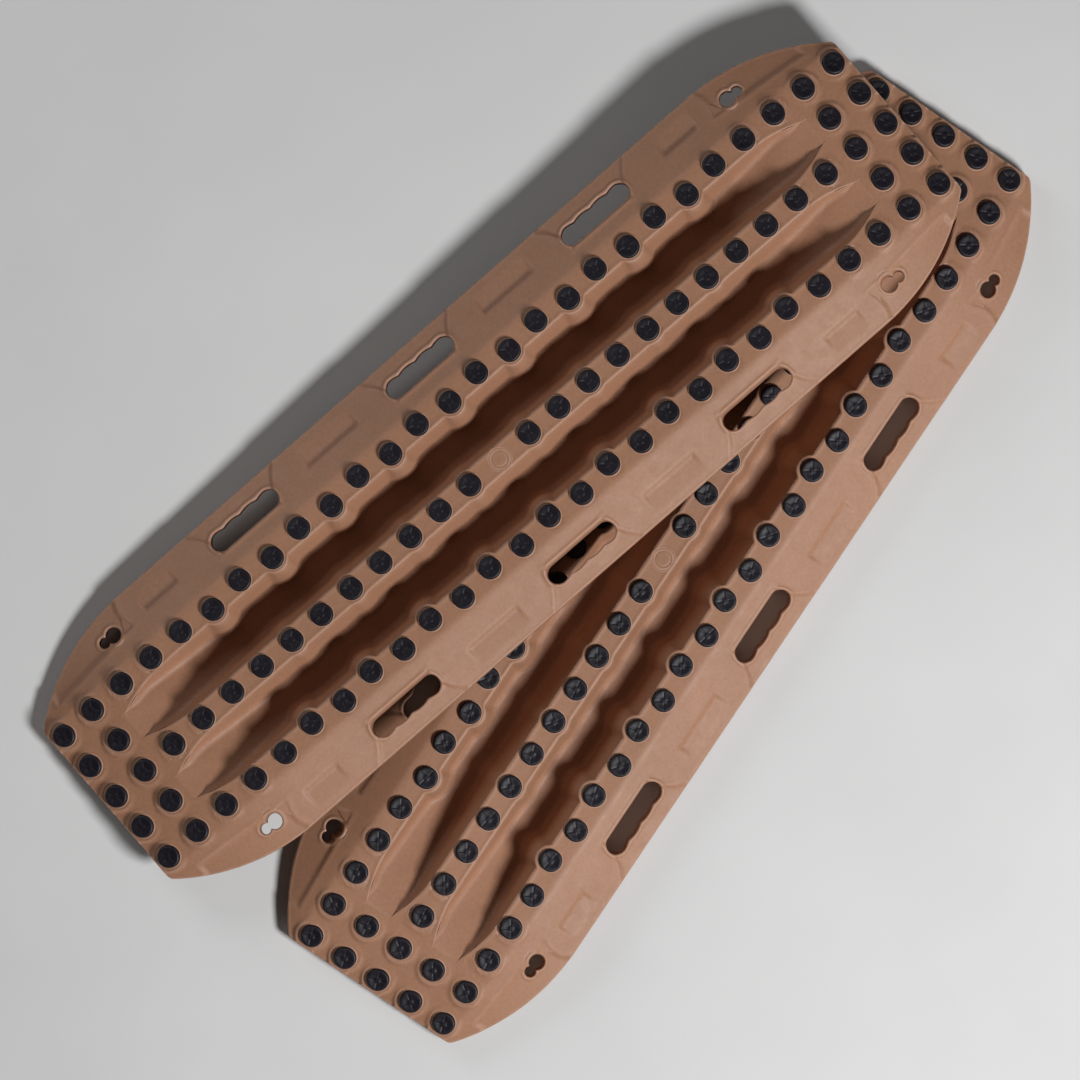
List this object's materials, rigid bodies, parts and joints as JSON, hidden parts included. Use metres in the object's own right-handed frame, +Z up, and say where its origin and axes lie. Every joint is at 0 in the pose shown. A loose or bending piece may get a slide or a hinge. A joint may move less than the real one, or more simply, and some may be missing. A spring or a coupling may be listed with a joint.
{
  "type": "tire traction mats",
  "caption": "Pair of long ribbed tire traction boards with dark round teeth, two valleys, handle slots and ramped ends, one lying across the other.",
  "frame": {"origin": "centre of the lower board's underside", "axes": "+X along the lower board's long axis, +Y across it towards the upper board's centre, +Z up"},
  "size_m": [1.1765, 0.6513, 0.1349],
  "materials": {
    "tan_moulding": "matte",
    "dark_moulding": "matte",
    "tooth_black": "satin",
    "screw_steel": "brushed"
  },
  "bodies": {
    "lower_board": {"lower_rail_left": "tan_moulding", "lower_rail_right": "tan_moulding", "lower_centre_ridge": "tan_moulding", "lower_valley_floors": "tan_moulding", "lower_end_plates": "tan_moulding", "lower_base_panel": "dark_moulding", "lower_panel_screws": "screw_steel", "lower_centre_plug": "tan_moulding", "lower_teeth_left": "tooth_black", "lower_teeth_centre": "tooth_black", "lower_teeth_right": "tooth_black", "lower_teeth_end": "tooth_black", "lower_tooth_screws_left": "screw_steel", "lower_tooth_screws_centre": "screw_steel", "lower_tooth_screws_right": "screw_steel", "lower_tooth_screws_end": "screw_steel"},
    "upper_board": {"upper_rail_left": "tan_moulding", "upper_rail_right": "tan_moulding", "upper_centre_ridge": "tan_moulding", "upper_valley_floors": "tan_moulding", "upper_end_plates": "tan_moulding", "upper_base_panel": "dark_moulding", "upper_panel_screws": "screw_steel", "upper_centre_plug": "tan_moulding", "upper_teeth_left": "tooth_black", "upper_teeth_centre": "tooth_black", "upper_teeth_right": "tooth_black", "upper_teeth_end": "tooth_black", "upper_tooth_screws_left": "screw_steel", "upper_tooth_screws_centre": "screw_steel", "upper_tooth_screws_right": "screw_steel", "upper_tooth_screws_end": "screw_steel"}
  },
  "joints": [
    {"name": "upper_board_lift", "type": "slide", "parent": "lower_board", "child": "upper_board", "axis": [0, 0, 1], "range_m": [0, 0.35]}
  ]
}
